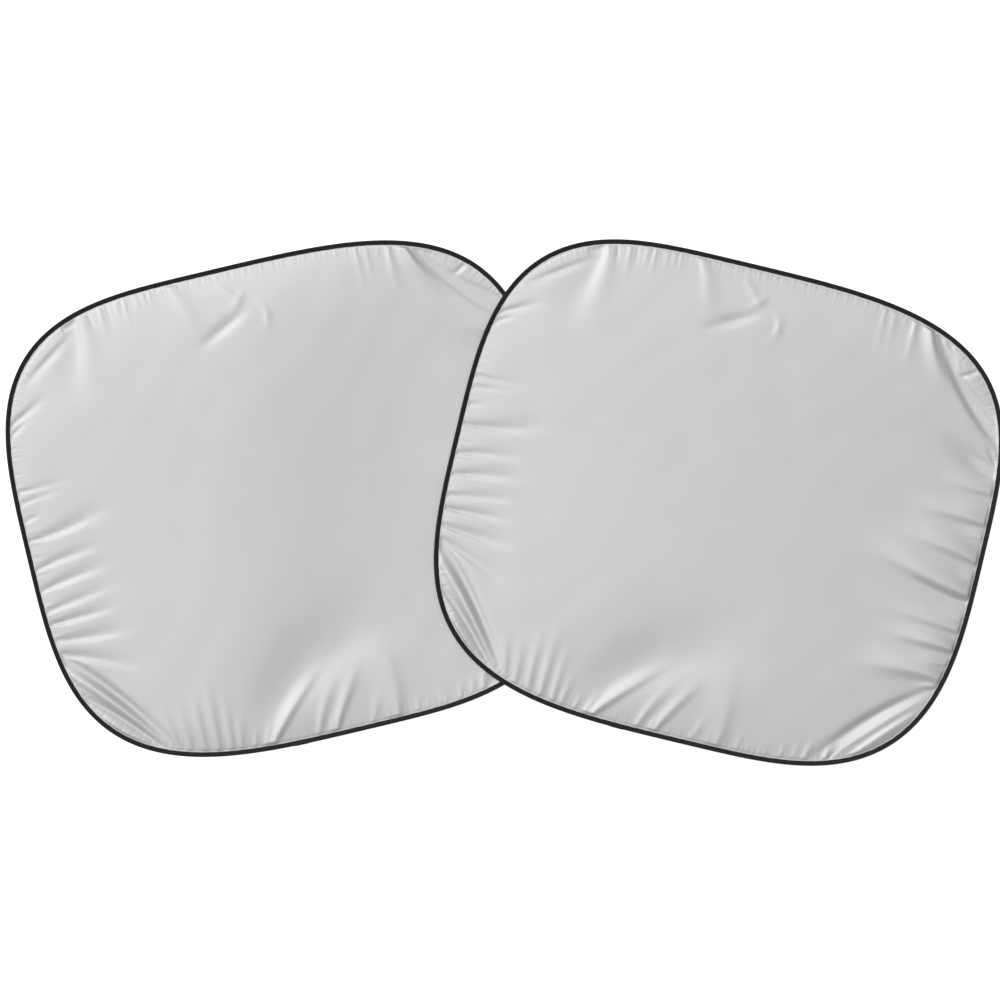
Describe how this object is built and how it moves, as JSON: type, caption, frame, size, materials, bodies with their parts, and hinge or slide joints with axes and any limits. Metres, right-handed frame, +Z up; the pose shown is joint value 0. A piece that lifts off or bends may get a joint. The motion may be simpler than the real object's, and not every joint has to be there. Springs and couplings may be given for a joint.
{
  "type": "windshield sunshade",
  "caption": "Pop-up windshield sunshade: two rounded silver fabric panels, each in a black tape binding over a spring wire hoop, lying flat and overlapping",
  "frame": {"origin": "on the floor under the middle of the pair of panels, at the bottom centre of the bounding box", "axes": "+X from the left panel to the right panel, +Y to the panels' upper edges, +Z up from the floor"},
  "size_m": [1.4688, 0.7754, 0.0141],
  "materials": {
    "silver_fabric": "satin silver coated polyester",
    "black_tape": "matt woven black tape",
    "spring_wire": "drawn spring steel",
    "ferrule": "crimped brass",
    "black_thread": "black polyester thread"
  },
  "bodies": {
    "root": {"left_fabric": "silver_fabric", "left_edge_binding": "black_tape", "left_hoop_wire": "spring_wire", "left_hoop_ferrule": "ferrule", "left_seam_thread_top": "black_thread", "left_seam_thread_under": "black_thread", "right_fabric": "silver_fabric", "right_edge_binding": "black_tape", "right_hoop_wire": "spring_wire", "right_hoop_ferrule": "ferrule", "right_seam_thread_top": "black_thread", "right_seam_thread_under": "black_thread"}
  },
  "joints": []
}
